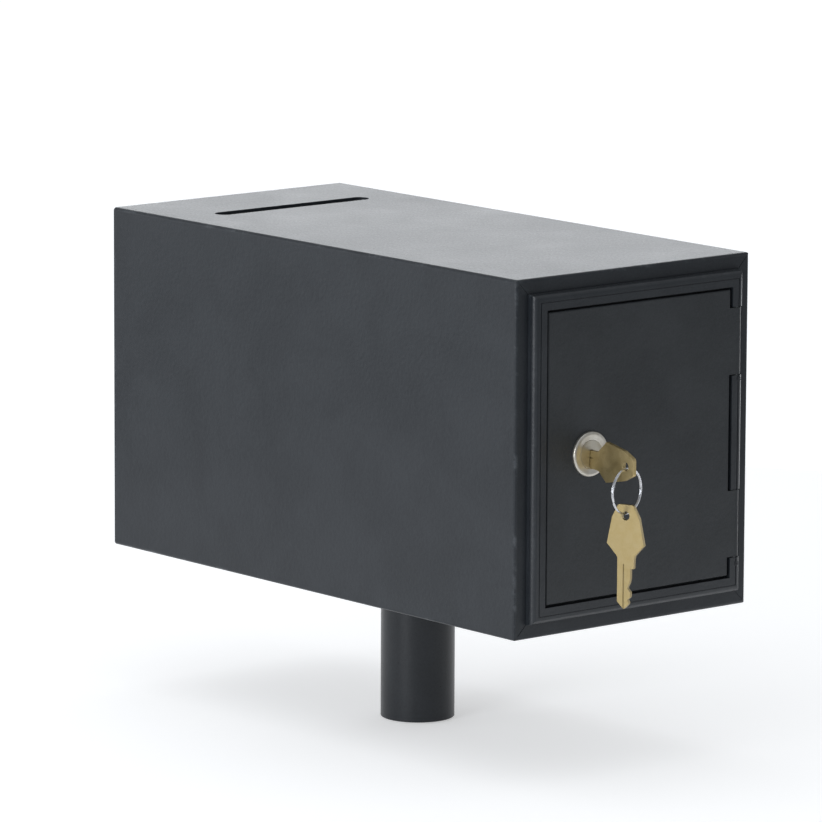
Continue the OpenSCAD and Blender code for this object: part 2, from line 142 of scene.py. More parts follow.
class Mixer(Wiring):
    """The shader tree of a material or a world."""

    def __init__(self, owner):
        owner.use_nodes = True
        owner.node_tree.nodes.clear()
        super().__init__(owner.node_tree)

    def blend(self, share, first, second):
        """A colour between two others."""
        return self.node("ShaderNodeMix", {"data_type": "RGBA"},
                         {0: share, 6: first, 7: second}, 2)

    def split(self, vector):
        node = self.tree.nodes.new("ShaderNodeSeparateXYZ")
        feed(self.tree, node.inputs[0], vector)
        return [Signal(self.tree, out) for out in node.outputs]


ROOM_GLOW, BACKDROP_GLOW, PAPER_GLOW = 0.42, 2.2, 1.1
world = bpy.data.worlds.new("studio")
bpy.context.scene.world = world
air = Mixer(world)
toward = air.split(air.node("ShaderNodeTexCoord", output="Generated"))
behind = (toward[0] * math.sin(YAW) + toward[1] * math.cos(YAW)).ramp(0.30, 0.92)
low_down = 1 - toward[2].ramp(0.15, 0.60)
seen = air.node("ShaderNodeLightPath", output="Is Camera Ray")
glow = ROOM_GLOW + behind * low_down * BACKDROP_GLOW
glow = glow * (1 - seen) + seen * PAPER_GLOW
sky = air.node("ShaderNodeBackground", sockets={"Color": (0.945, 0.972, 1, 1), "Strength": glow})
air.node("ShaderNodeOutputWorld", sockets={"Surface": sky})

bpy.context.scene.view_settings.view_transform = "Standard"
bpy.context.scene.view_settings.look = "None"

FLOOR_RADIUS, FLOOR_DROP, FLOOR_TONE, FLOOR_GLOW = 0.75, 0.5 * MM, 0.88, 0.42
floor_mesh = bmesh.new()
bmesh.ops.create_circle(floor_mesh, cap_ends=True, radius=FLOOR_RADIUS, segments=96)
floor_data = bpy.data.meshes.new("studio_floor")
floor_mesh.to_mesh(floor_data)
floor_mesh.free()
floor = bpy.data.objects.new("studio_floor", floor_data)
floor.location.z = -FLOOR_DROP
bpy.context.scene.collection.objects.link(floor)
pale = bpy.data.materials.new("studio_floor")
matt = Mixer(pale)
matt.node("ShaderNodeOutputMaterial", sockets={"Surface": matt.node(
    "ShaderNodeBsdfPrincipled", sockets={
        "Base Color": (FLOOR_TONE, FLOOR_TONE, FLOOR_TONE, 1), "Roughness": 0.9,
        "Specular IOR Level": 0.0,
        "Emission Color": (1, 1, 1, 1), "Emission Strength": FLOOR_GLOW})})
floor_data.materials.append(pale)

for name, spot, size, power in (
    ("overhead_box", (-0.2, 0.1, 1.7), 2.0, 7),
    ("backdrop_side_box", (-1.5, 1.25, 0.55), 1.3, 7),
    ("left_box", (-2.0, -0.40, 0.40), 0.9, 18),
):
    lamp = bpy.data.lights.new(name, "AREA")
    lamp.size, lamp.energy = size, power
    lamp.color = (0.93, 0.955, 1)
    light = bpy.data.objects.new(name, lamp)
    light.location = spot
    light.rotation_mode = "QUATERNION"
    light.rotation_quaternion = (Vector(spot) - shell_mid).to_track_quat("Z", "Y")
    bpy.context.scene.collection.objects.link(light)


# ---------------------------------------------------------------- folded shell
# One steel sheet folded round into top, sides and floor, a welded-in back pan and a stiffening
# plate over the post. All of it is blasted and powder coated in one go, dark slate grey, with
# the fine orange peel of a thin coat and a little polish where hands rub the edges.

def add_piece(name, mesh, body, node):
    """Links a mesh as a piece that rides on a body and stands for a CAD node."""
    obj = bpy.data.objects.new(name, mesh)
    bpy.context.scene.collection.objects.link(obj)
    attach(obj, body)
    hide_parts(node)


def plain_mesh(obj, name):
    """The mesh that an object's modifiers give, with the object then thrown away."""
    graph = bpy.context.evaluated_depsgraph_get()
    graph.update()
    mesh = bpy.data.meshes.new_from_object(
        obj.evaluated_get(graph), preserve_all_data_layers=True, depsgraph=graph)
    mesh.name = name
    bpy.data.objects.remove(obj)
    return mesh


def smooth_below(mesh, degrees):
    """Shades a mesh smooth, with sharp edges where its faces meet at more than an angle."""
    mesh.shade_smooth()
    mesh.set_sharp_from_angle(angle=math.radians(degrees))


def ease_edges(mesh, width, segments=2, sharper_than=40):
    """A small radius on every sharp edge, and flat faces that shade flat."""
    same_point, no_length, coplanar = 2e-6, 1e-6, math.radians(0.6)
    shell = bmesh.new()
    shell.from_mesh(mesh)
    bmesh.ops.remove_doubles(shell, verts=shell.verts, dist=same_point)
    bmesh.ops.dissolve_degenerate(shell, dist=no_length, edges=shell.edges)
    bmesh.ops.dissolve_limit(shell, angle_limit=coplanar, verts=shell.verts,
                             edges=shell.edges, delimit={"NORMAL"})
    shell.to_mesh(mesh)
    shell.free()
    smooth_below(mesh, sharper_than)
    bench = bpy.data.objects.new("bench", mesh)
    bpy.context.scene.collection.objects.link(bench)
    round_off = bench.modifiers.new("arris", "BEVEL")
    round_off.width, round_off.segments = width, segments
    round_off.limit_method, round_off.angle_limit = "ANGLE", math.radians(sharper_than)
    round_off.miter_outer = "MITER_ARC"
    shade = bench.modifiers.new("shade", "WEIGHTED_NORMAL")
    shade.keep_sharp, shade.weight = True, 80
    return plain_mesh(bench, mesh.name + "_eased")


def finished_copy(node, name, material, width, segments=2, sharper_than=40, body="box"):
    """A CAD node's own shape with its sharp edges eased, which stands for that node."""
    mesh = frame["nodes"][node].data.copy()
    mesh.name = name
    mesh.materials.clear()
    mesh = ease_edges(mesh, width, segments, sharper_than)
    mesh.materials.append(material)
    add_piece(name, mesh, body, node)


def coat(name, dark, light, roughness, grain_size, peel_size, relief, specular, edges=None):
    """Sprayed, baked paint: peel, grain, slow drifts of tone, edges lighter by wear and painted
    highlight.
    """
    drift_share, grain_share = 0.09, 0.24
    rub_and_highlight_starts, rub_and_highlight_full, rub_and_highlight_tint, rub_polish = 2.2 * MM, 0.4 * MM, 0.55, 0.12
    material = bpy.data.materials.new(name)
    mix = Mixer(material)
    at = mix.node("ShaderNodeTexCoord", output="Object")
    grain = mix.node("ShaderNodeTexNoise", sockets={
        "Vector": at, "Scale": 1 / grain_size, "Detail": 3.0, "Roughness": 0.6})
    peel = mix.node("ShaderNodeTexNoise", sockets={
        "Vector": at, "Scale": 1 / peel_size, "Detail": 2.0, "Roughness": 0.45})
    drift = mix.node("ShaderNodeTexNoise", sockets={
        "Vector": at, "Scale": 24.0, "Detail": 5.0, "Roughness": 0.62, "Distortion": 0.4})
    tone = drift.ramp(0.32, 0.68) * 0.5 + grain.ramp(0.25, 0.75) * 0.5
    colour = mix.blend(tone, dark, light)
    gloss = roughness + (drift - 0.5) * drift_share + (grain - 0.5) * grain_share
    if edges:
        middle, half = edges
        out = [abs(part - centre) / reach
               for part, centre, reach in zip(mix.split(at), middle, half)]
        near = [part.ramp(1 - rub_and_highlight_starts / reach, 1 - rub_and_highlight_full / reach)
                for part, reach in zip(out, half)]
        rim = (near[0] * near[2]).or_more((near[1] * near[0]).or_more(near[1] * near[2]))
        scuff_and_highlight_breaks = mix.node("ShaderNodeTexNoise", sockets={
            "Vector": at, "Scale": 95.0, "Detail": 6.0, "Roughness": 0.7})
        # The edges are painted lighter and made glossier: rubbed wear, and a painted highlight
        # along the arrises, broken up by noise.
        rubbed_and_highlit = rim * scuff_and_highlight_breaks.ramp(0.52, 0.70)
        colour = mix.blend(rubbed_and_highlit * rub_and_highlight_tint, colour, (0.10, 0.11, 0.12, 1))
        gloss = gloss - rubbed_and_highlit * rub_polish
    bumps = mix.node("ShaderNodeBump", sockets={
        "Strength": 1.0, "Distance": relief, "Height": peel * 0.65 + grain * 0.35})
    paint = mix.node("ShaderNodeBsdfPrincipled", sockets={
        "Base Color": colour, "Roughness": gloss, "Specular IOR Level": specular,
        "Normal": bumps})
    mix.node("ShaderNodeOutputMaterial", sockets={"Surface": paint})
    return material


powder_coat = coat(
    "slate_powder_coat", (0.015, 0.018, 0.022, 1), (0.025, 0.029, 0.034, 1), roughness=0.36,
    grain_size=1.1 * MM, peel_size=2.4 * MM, relief=0.13 * MM, specular=0.26,
    edges=(shell_mid, (shell_high - shell_low) / 2))
finished_copy("box_wrap", "folded_shell", powder_coat, 0.35 * MM)
finished_copy("back_panel", "back_pan", powder_coat, 0.4 * MM)
finished_copy("floor_doubler", "floor_plate", powder_coat, 0.4 * MM)


# ---------------------------------------------------------------- cast frame
# The frame round the door is a die casting: a quarter-round moulding with a fine quirk, a ledge
# that the door shuts against and a neck that runs back into the box. It is painted near-black
# over the slightly grainy skin of the casting.

frame_low, frame_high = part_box("door_frame")
# Its outer edges are painted lighter: a painted highlight along the moulding's arris, with some
# rubbed wear.
casting_paint = coat(
    "casting_paint", (0.013, 0.016, 0.020, 1), (0.024, 0.028, 0.033, 1), roughness=0.34,
    grain_size=0.7 * MM, peel_size=1.6 * MM, relief=0.16 * MM, specular=0.38,
    edges=((frame_low + frame_high) / 2, (frame_high - frame_low) / 2))
finished_copy("door_frame", "cast_frame", casting_paint, 0.22 * MM)


# ---------------------------------------------------------------- cast door
# The door is cast with its stiffening rib, lock pad and two knuckles in one piece, in the same
# metal as the frame. Its face has a broader, softer grain from the mould and a duller paint.

door_paint = coat(
    "door_paint", (0.016, 0.019, 0.022, 1), (0.029, 0.033, 0.037, 1), roughness=0.43,
    grain_size=1.0 * MM, peel_size=2.6 * MM, relief=0.22 * MM, specular=0.36)
finished_copy("door_panel", "cast_door", door_paint, 0.25 * MM, body="door")


# ---------------------------------------------------------------- plated hardware
# The clamps and their screws and the hinge pin: pressed or turned from mild steel and zinc plated,
# so bright, a little cloudy and faintly blue. The pin's two set screws are painted over with the
# frame.

def plated(name, base, tint, roughness, cloud_size=6 * MM):
    """Zinc or spring steel: cloudy tones, small crystals and a fine tooth."""
    cloud_share, crystal_share, crystal_middle = 0.25, 0.10, 0.4
    material = bpy.data.materials.new(name)
    mix = Mixer(material)
    at = mix.node("ShaderNodeTexCoord", output="Object")
    clouds = mix.node("ShaderNodeTexNoise", sockets={
        "Vector": at, "Scale": 1 / cloud_size, "Detail": 4.0, "Roughness": 0.6})
    crystals = mix.node("ShaderNodeTexVoronoi", sockets={"Vector": at, "Scale": 900.0})
    tooth = mix.node("ShaderNodeTexNoise", sockets={
        "Vector": at, "Scale": 2600.0, "Detail": 2.0, "Roughness": 0.5})
    colour = mix.blend(clouds.ramp(0.35, 0.7), base, tint)
    gloss = roughness + (clouds - 0.5) * cloud_share + (crystals - crystal_middle) * crystal_share
    bumps = mix.node("ShaderNodeBump", sockets={
        "Strength": 0.6, "Distance": 0.04 * MM, "Height": tooth * 0.6 + clouds * 0.4})
    metal = mix.node("ShaderNodeBsdfPrincipled", sockets={
        "Base Color": colour, "Metallic": 1.0, "Roughness": gloss, "Normal": bumps})
    mix.node("ShaderNodeOutputMaterial", sockets={"Surface": metal})
    return material


zinc = plated("zinc_plate", (0.56, 0.57, 0.58, 1), (0.44, 0.47, 0.52, 1), 0.34)
finished_copy("frame_clamps", "frame_clamps_bent", zinc, 0.3 * MM)
finished_copy("hinge_pin", "hinge_rod", zinc, 0.25 * MM)
finished_copy("pin_screws", "pin_set_screws", casting_paint, 0.08 * MM)


def shape(points, faces, name):
    """A mesh with outward faces from rows of points."""
    mesh = bpy.data.meshes.new(name)
    mesh.from_pydata([tuple(p) for p in points], [], faces)
    shell = bmesh.new()
    shell.from_mesh(mesh)
    bmesh.ops.remove_doubles(shell, verts=shell.verts, dist=1e-7)
    bmesh.ops.recalc_face_normals(shell, faces=shell.faces)
    shell.to_mesh(mesh)
    shell.free()
    return mesh


def row_faces(rows, count, closed):
    """The faces between rows of points that each go round; closed joins the last to the first."""
    return [(row * count + s, row * count + (s + 1) % count,
             (row + 1) % rows * count + (s + 1) % count, (row + 1) % rows * count + s)
            for row in range(rows if closed else rows - 1) for s in range(count)]


def lathe(profile, name, segments=96, closed=False):
    """A profile of (radius, height) spun about Z; closed joins its last point to its first."""
    turn = np.linspace(0, 2 * math.pi, segments, endpoint=False)
    points = [(r * math.cos(t), r * math.sin(t), z) for r, z in profile for t in turn]
    return shape(points, row_faces(len(profile), segments, closed), name)


def threaded_rod(radius, length, pitch, name, flat=None, bore=0.0, segments=48):
    """A rod up +Z from z = 0 whose surface is a helical thread, flattened on two sides if asked,
    bored through if asked, and closed at both ends."""
    thread_depth, rows_per_pitch, flank, crest = 0.54 * pitch, 6, 1.25, 0.12
    rows = int(length / pitch * rows_per_pitch) + 1
    rings = []
    turn = np.linspace(0, 2 * math.pi, segments, endpoint=False)
    for i in range(rows + 1):
        z = length * i / rows
        run_out = min(1.0, (length - z) / pitch, z / pitch)
        wave = np.abs(((z / pitch - turn / (2 * math.pi)) % 1.0) * 2 - 1)
        r = radius - thread_depth * (1 - run_out * np.clip(wave * flank - crest, 0, 1))
        if flat:
            r = np.minimum(r, flat / np.maximum(np.abs(np.cos(turn)), 1e-6))
        rings.append(np.stack([r * np.cos(turn), r * np.sin(turn), np.full(segments, z)], 1))
    inner = max(bore, 1e-9)
    hole = np.stack([inner * np.cos(turn), inner * np.sin(turn)], 1)
    low = np.column_stack([hole, np.zeros(segments)])
    high = np.column_stack([hole, np.full(segments, length)])
    return shape(np.vstack([low, *rings, high]),
                 row_faces(len(rings) + 2, segments, bool(bore)), name)


def joined(name, *meshes):
    """One mesh out of several closed ones."""
    whole = bmesh.new()
    for mesh in meshes:
        whole.from_mesh(mesh)
    made = bpy.data.meshes.new(name)
    whole.to_mesh(made)
    whole.free()
    return made


def cut_with(mesh, cutter, operation, name):
    """What a boolean operation makes of a mesh and a cutter."""
    block = bpy.data.objects.new("block", mesh)
    tool = bpy.data.objects.new("tool", cutter)
    for obj in (block, tool):
        bpy.context.scene.collection.objects.link(obj)
    cut = block.modifiers.new("cut", "BOOLEAN")
    cut.operation, cut.solver, cut.object = operation, "EXACT", tool
    made = plain_mesh(block, name)
    bpy.data.objects.remove(tool)
    return made


def box_mesh(size, centre, name):
    made = bmesh.new()
    bmesh.ops.create_cube(made, size=1)
    bmesh.ops.scale(made, vec=size, verts=made.verts)
    bmesh.ops.translate(made, vec=centre, verts=made.verts)
    mesh = bpy.data.meshes.new(name)
    made.to_mesh(mesh)
    made.free()
    return mesh


class Layout(Wiring):
    """A Geometry Nodes tree with named inputs for its sizes."""

    def __init__(self, name, **inputs):
        super().__init__(bpy.data.node_groups.new(name, "GeometryNodeTree"))
        add_socket = self.tree.interface.new_socket
        add_socket("Geometry", in_out="INPUT", socket_type="NodeSocketGeometry")
        self.keys = {
            label: add_socket(label, in_out="INPUT", socket_type="NodeSocket" + kind).identifier
            for label, kind in inputs.items()}
        add_socket("Geometry", in_out="OUTPUT", socket_type="NodeSocketGeometry")
        self.given = self.tree.nodes.new("NodeGroupInput")
        self.result = self.tree.nodes.new("NodeGroupOutput")

    def input(self, label):
        return Signal(self.tree, self.given.outputs[label])

    def end(self, geometry):
        real = self.node("GeometryNodeRealizeInstances", sockets={"Geometry": geometry})
        painted = self.node("GeometryNodeSetMaterial", sockets={
            "Geometry": real, "Material": self.input("Material")})
        feed(self.tree, self.result.inputs[0], painted)

    def build(self, name, base, **values):
        """The plain mesh that the tree makes out of a base mesh."""
        bench = bpy.data.objects.new(name, base)
        bpy.context.scene.collection.objects.link(bench)
        grow = bench.modifiers.new("layout", "NODES")
        grow.node_group = self.tree
        for label, value in values.items():
            grow[self.keys[label]] = value
        return plain_mesh(bench, name)


fastener_layout = Layout("fasteners_at_places", Fastener="Object", Material="Material")
fastener_layout.end(fastener_layout.node("GeometryNodeInstanceOnPoints", sockets={
    "Points": fastener_layout.input("Geometry"),
    "Instance": fastener_layout.node("GeometryNodeObjectInfo", sockets={
        "Object": fastener_layout.input("Fastener")}, output="Geometry")}))


def at_places(name, template, places, node):
    """Like zinc-plated fasteners in one piece of the box, one at each place."""
    spots = bpy.data.meshes.new(name + "_places")
    spots.from_pydata([tuple(p) for p in places], [], [])
    pattern = bpy.data.objects.new("pattern", template)
    bpy.context.scene.collection.objects.link(pattern)
    mesh = fastener_layout.build(name, spots, Fastener=pattern, Material=zinc)
    bpy.data.objects.remove(pattern)
    add_piece(name, mesh, "box", node)


screw_low, screw_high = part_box("frame_screws")
pan_r, pan_h, shank_r = 3.6 * MM, 2.2 * MM, 2.0 * MM
recess_long, recess_wide, recess_deep = 3.9 * MM, 0.8 * MM, 2.0 * MM
shank_l = (screw_high.y - screw_low.y) - pan_h
pan_head = lathe([
    (0, -0.3 * MM), (pan_r - 0.2 * MM, -0.3 * MM), (pan_r - 0.2 * MM, 0),
    (pan_r, 0.15 * MM), (pan_r, 0.9 * MM), (0.93 * pan_r, 1.45 * MM),
    (0.76 * pan_r, 1.9 * MM), (0.5 * pan_r, 2.12 * MM), (0, pan_h)], "pan_head", 48)
for size in ((recess_long, recess_wide, recess_deep), (recess_wide, recess_long, recess_deep)):
    pan_head = cut_with(pan_head, box_mesh(size, (0, 0, pan_h), "recess_arm"), "DIFFERENCE",
                        "pan_head_cut")
pan_head = ease_edges(pan_head, 0.06 * MM, 1)
screw_shank = threaded_rod(shank_r, shank_l + 0.2 * MM, 0.7 * MM, "screw_shank", segments=24)
screw_shank.transform(Matrix.Translation((0, 0, -shank_l)))
pan_screw = joined("pan_screw", screw_shank, pan_head)
smooth_below(pan_screw, 35)
pan_screw.transform(Matrix.Rotation(math.radians(-90), 4, "X"))
at_places("frame_pan_screws", pan_screw, [
    (x, screw_high.y - pan_h, z) for x in (screw_low.x + pan_r, screw_high.x - pan_r)
    for z in (screw_low.z + pan_r, screw_high.z - pan_r)], "frame_screws")


# ---------------------------------------------------------------- cam lock
# A standard cam lock: a turned and plated head with a double-flat threaded barrel through the
# door, held from behind by a toothed washer and a nut. The head is polished on the lathe, so
# its fine scratches run round the axis.

body_low, body_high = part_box("lock_body")
lock_axis = (body_low + body_high) / 2
head_front = body_low.y


def polished(name, base, worn, roughness, centre):
    """Turned, plated and polished metal with rings of fine scratches about a line along Y."""
    rings_per_metre, along_ring, scratch_depth = 5200, 40, 0.03 * MM
    smear_share, line_share, nick_share = 0.18, 0.10, 0.12
    material = bpy.data.materials.new(name)
    mix = Mixer(material)
    at = mix.node("ShaderNodeTexCoord", output="Object")
    here = mix.node("ShaderNodeVectorMath", {"operation": "SUBTRACT"}, {0: at, 1: tuple(centre)})
    x, y, z = mix.split(here)
    radius = (x * x + z * z) ** 0.5
    rings = mix.node("ShaderNodeCombineXYZ", sockets={
        0: radius * rings_per_metre, 1: y * rings_per_metre, 2: x * along_ring})
    turned_lines = mix.node("ShaderNodeTexNoise", sockets={
        "Vector": rings, "Scale": 1.0, "Detail": 3.0, "Roughness": 0.6})
    smear = mix.node("ShaderNodeTexNoise", sockets={
        "Vector": at, "Scale": 160.0, "Detail": 4.0, "Roughness": 0.55, "Distortion": 0.6})
    nicks = mix.node("ShaderNodeTexNoise", sockets={
        "Vector": mix.node("ShaderNodeVectorMath", {"operation": "MULTIPLY"}, {
            0: at, 1: (900, 900, 5200)}), "Scale": 1.0, "Detail": 2.0, "Roughness": 0.5})
    colour = mix.blend(smear.ramp(0.35, 0.75), base, worn)
    gloss = (roughness + (smear - 0.5) * smear_share + (turned_lines - 0.5) * line_share
             + nicks.ramp(0.66, 0.74) * nick_share)
    bumps = mix.node("ShaderNodeBump", sockets={
        "Strength": 0.5, "Distance": scratch_depth, "Height": turned_lines * 0.7 + nicks * 0.3})
    metal = mix.node("ShaderNodeBsdfPrincipled", sockets={
        "Base Color": colour, "Metallic": 1.0, "Roughness": gloss, "Normal": bumps})
    mix.node("ShaderNodeOutputMaterial", sockets={"Surface": metal})
    return material


nickel = polished("polished_nickel", (0.60, 0.58, 0.53, 1), (0.50, 0.47, 0.41, 1), 0.38,
                  lock_axis)
head_r, bore_r, head_t = (body_high.x - body_low.x) / 2, 7.06 * MM, 2.0 * MM
barrel_r, barrel_flat, barrel_pitch = 9.5 * MM, 8.0 * MM, 1.25 * MM
barrel_length = body_high.y - head_front - head_t
into_head = 0.3 * MM
lock_head = lathe([
    (bore_r, 0.1 * MM), (bore_r, 1.62 * MM), (bore_r + 0.25 * MM, 1.82 * MM),
    (bore_r + 0.5 * MM, 1.86 * MM), (head_r - 2.3 * MM, 1.86 * MM), (head_r - 1.9 * MM, 1.99 * MM),
    (head_r - 1.1 * MM, 2.0 * MM), (head_r - 0.55 * MM, 1.9 * MM), (head_r - 0.2 * MM, 1.65 * MM),
    (head_r - 0.02 * MM, 1.25 * MM), (head_r, 0.9 * MM), (head_r, 0.15 * MM),
    (head_r - 0.15 * MM, 0), (bore_r + 0.1 * MM, 0)], "lock_head", 128, closed=True)
barrel = threaded_rod(barrel_r, barrel_length + into_head, barrel_pitch, "lock_barrel",
                      flat=barrel_flat, bore=bore_r, segments=96)
barrel.transform(Matrix.Translation((0, 0, -barrel_length)))
lock_shell = joined("lock_shell", lock_head, barrel)
lock_shell.transform(Matrix.Rotation(math.radians(90), 4, "X"))
lock_shell.transform(Matrix.Translation((lock_axis.x, head_front + head_t, lock_axis.z)))
smooth_below(lock_shell, 42)
lock_shell.materials.append(nickel)
add_piece("lock_head_and_barrel", lock_shell, "door", "lock_body")

finished_copy("lock_washer", "toothed_washer", zinc, 0.1 * MM, body="door")
finished_copy("lock_nut", "barrel_nut", zinc, 0.25 * MM, body="door")


# ---------------------------------------------------------------- lock core
# The plug that the key turns, with its keyway, and the pressed cam held on its square tail by a
# washer and a screw. Five coil springs press on the brass wafers in its slots.

plug_metal = polished("plug_nickel", (0.52, 0.49, 0.42, 1), (0.43, 0.39, 0.31, 1), 0.36,
                      lock_axis)
finished_copy("lock_plug", "lock_core", plug_metal, 0.12 * MM, body="plug")
finished_copy("lock_cam", "lock_tongue", zinc, 0.25 * MM, body="plug")
finished_copy("cam_washer", "tongue_washer", zinc, 0.15 * MM, body="plug")
finished_copy("cam_screw", "tongue_screw", zinc, 0.1 * MM, body="plug")

SPRINGS = 5
spring_low, spring_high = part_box("wafer_springs")
spring_wire = 0.22 * MM
spring_layout = Layout("springs_in_row", Pitch="Float", Coils="Float", Radius="Float",
                       Height="Float", Wire="Float", Material="Material")
coils = spring_layout.node("GeometryNodeCurveSpiral", sockets={
    "Resolution": 14, "Rotations": spring_layout.input("Coils"),
    "Start Radius": spring_layout.input("Radius"), "End Radius": spring_layout.input("Radius"),
    "Height": spring_layout.input("Height")})
wire = spring_layout.node("GeometryNodeCurveToMesh", sockets={
    "Curve": coils, "Fill Caps": True, "Profile Curve": spring_layout.node(
        "GeometryNodeCurvePrimitiveCircle", sockets={
            "Resolution": 8, "Radius": spring_layout.input("Wire")})})
row = spring_layout.node("GeometryNodeMeshLine", {"mode": "OFFSET"}, {
    "Count": SPRINGS, "Offset": spring_layout.node("ShaderNodeCombineXYZ", sockets={
        "Y": spring_layout.input("Pitch")})})
spring_layout.end(spring_layout.node("GeometryNodeInstanceOnPoints", sockets={
    "Points": row, "Instance": wire}))

spring_steel = plated("spring_steel", (0.50, 0.50, 0.52, 1), (0.38, 0.38, 0.40, 1), 0.28,
                      3 * MM)
spring_width = spring_high.x - spring_low.x
spring_pitch = ((spring_high.y - spring_low.y) - spring_width) / (SPRINGS - 1)
spring_mesh = spring_layout.build(
    "wafer_coil_springs", bpy.data.meshes.new("springs"), Pitch=spring_pitch, Coils=7.0,
    Radius=spring_width / 2 - spring_wire, Wire=spring_wire,
    Height=spring_high.z - spring_low.z - 2 * spring_wire, Material=spring_steel)
spring_mesh.transform(Matrix.Translation((
    (spring_low.x + spring_high.x) / 2, spring_low.y + spring_width / 2,
    spring_low.z + spring_wire)))
spring_mesh.shade_smooth()
add_piece("wafer_coil_springs", spring_mesh, "plug", "wafer_springs")


# ---------------------------------------------------------------- keys
# Two flat brass keys of one pattern, blanked from sheet, milled along the blade and cut on one
# edge. The faces are a soft, warm gold with darker specks, and the wafers are brass too.

X, Y, Z = range(3)


def key_brass(name, along, shade):
    """Brass with fine lines along one axis, tarnish in patches and dark specks."""
    lines_per_metre, along_lines = 6200, 260
    base_roughness, patch_share, line_share, speck_tint = 0.42, 0.22, 0.16, 0.5
    material = bpy.data.materials.new(name)
    mix = Mixer(material)
    at = mix.node("ShaderNodeTexCoord", output="Object")
    lines = mix.node("ShaderNodeTexNoise", sockets={
        "Vector": mix.node("ShaderNodeVectorMath", {"operation": "MULTIPLY"}, {0: at, 1: tuple(
            along_lines if axis == along else lines_per_metre for axis in (X, Y, Z))}),
        "Scale": 1.0, "Detail": 3.0, "Roughness": 0.6})
    patches = mix.node("ShaderNodeTexNoise", sockets={
        "Vector": at, "Scale": 190.0, "Detail": 5.0, "Roughness": 0.62, "Distortion": 0.5})
    specks = mix.node("ShaderNodeTexNoise", sockets={
        "Vector": at, "Scale": 1500.0, "Detail": 2.0, "Roughness": 0.5})
    # shade scales the whole brass darker; on the two keys it is painted shade.
    dull, bright = (
        tuple(shade * part for part in tone) + (1,)
        for tone in ((0.52, 0.405, 0.19), (0.60, 0.48, 0.25)))
    colour = mix.blend(patches.ramp(0.3, 0.72), dull, bright)
    colour = mix.blend(specks.ramp(0.62, 0.72) * speck_tint, colour, (0.30, 0.21, 0.09, 1))
    gloss = base_roughness + (patches - 0.5) * patch_share + (lines - 0.5) * line_share
    bumps = mix.node("ShaderNodeBump", sockets={
        "Strength": 0.7, "Distance": 0.05 * MM, "Height": lines * 0.7 + specks * 0.3})
    metal = mix.node("ShaderNodeBsdfPrincipled", sockets={
        "Base Color": colour, "Metallic": 1.0, "Roughness": gloss, "Normal": bumps})
    mix.node("ShaderNodeOutputMaterial", sockets={"Surface": metal})
    return material


# Both keys are one brass, darkened by a factor of their own: painted shade, much stronger on the
# hanging key than on the key in the lock.
for node, name, along, body, shade in (("inserted_key", "key_in_lock", Y, "key", 0.86),
                                       ("spare_key", "hanging_key", Z, "spare", 0.52)):
    brass = key_brass(name + "_brass", along, shade)
    finished_copy(node, name, brass, 0.22 * MM, 3, 25, body)

wafer_brass = key_brass("wafer_brass", Z, 0.9)
finished_copy("lock_wafers", "sprung_wafers", wafer_brass, 0.06 * MM, body="plug")


# ---------------------------------------------------------------- key ring
# A split ring: two turns of bright spring wire wound tight against each other, which step over
# from one level to the next near the ends of the wire.

ring_low, ring_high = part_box("key_ring")
ring_middle = (ring_low + ring_high) / 2
cad_wire_r, half_wide, half_thick = 0.7 * MM, 0.46 * MM, 0.30 * MM
ring_radius = (ring_high.z - ring_low.z) / 2 - cad_wire_r
RING_STEPS, RING_TURNS, STEP_STARTS, STEP_LASTS = 220, 1.985, 0.94, 0.10
ring_start = math.radians(205)
ring_points = []
for i in range(RING_STEPS + 1):
    turns = RING_TURNS * i / RING_STEPS
    step_over = min(1.0, max(0.0, (turns - STEP_STARTS) / STEP_LASTS))
    step_over = step_over * step_over * (3 - 2 * step_over)
    angle = ring_start + 2 * math.pi * turns
    ring_points.append((ring_radius * math.cos(angle), ring_radius * math.sin(angle),
                        half_thick * (2 * step_over - 1)))
ring_path = bpy.data.meshes.new("ring_path")
ring_path.from_pydata(ring_points, [(i, i + 1) for i in range(RING_STEPS)], [])

ring_layout = Layout("wire_along_path", Wide="Float", Thick="Float", Material="Material")
track = ring_layout.node("GeometryNodeSetCurveNormal", {"mode": "Z_UP"}, {
    "Curve": ring_layout.node("GeometryNodeMeshToCurve", sockets={
        "Mesh": ring_layout.input("Geometry")})})
section = ring_layout.node("GeometryNodeTransform", sockets={
    "Geometry": ring_layout.node("GeometryNodeCurvePrimitiveCircle", sockets={
        "Resolution": 12, "Radius": 1.0}),
    "Scale": ring_layout.node("ShaderNodeCombineXYZ", sockets={
        "X": ring_layout.input("Wide"), "Y": ring_layout.input("Thick"), "Z": 1.0})})
ring_layout.end(ring_layout.node("GeometryNodeCurveToMesh", sockets={
    "Curve": track, "Profile Curve": section, "Fill Caps": True}))
ring_steel = plated("ring_steel", (0.70, 0.71, 0.73, 1), (0.60, 0.61, 0.64, 1), 0.18,
                    4 * MM)
ring_mesh = ring_layout.build("split_ring", ring_path, Wide=half_wide, Thick=half_thick * 0.97,
                              Material=ring_steel)
ring_axis = next(joint["axis"] for joint in frame["joints"] if joint["name"] == "spare_key_swing")
ring_mesh.transform(Matrix.Translation(ring_middle)
                    @ Vector(ring_axis).to_track_quat("Z", "Y").to_matrix().to_4x4())
smooth_below(ring_mesh, 50)
add_piece("split_ring", ring_mesh, "ring", "key_ring")


# ---------------------------------------------------------------- post
# A round steel tube with a square plate welded on top, bolted up through the floor of the box.
# Tube, weld and plate are painted together, darker and smoother than the box. The fillet weld is
# one bead with the overlapping ripples of its pool.

post_paint = coat(
    "post_paint", (0.010, 0.012, 0.015, 1), (0.018, 0.021, 0.025, 1), roughness=0.34,
    grain_size=1.1 * MM, peel_size=3.0 * MM, relief=0.08 * MM, specular=0.3)
finished_copy("post_flange", "post_top_plate", post_paint, 0.4 * MM)

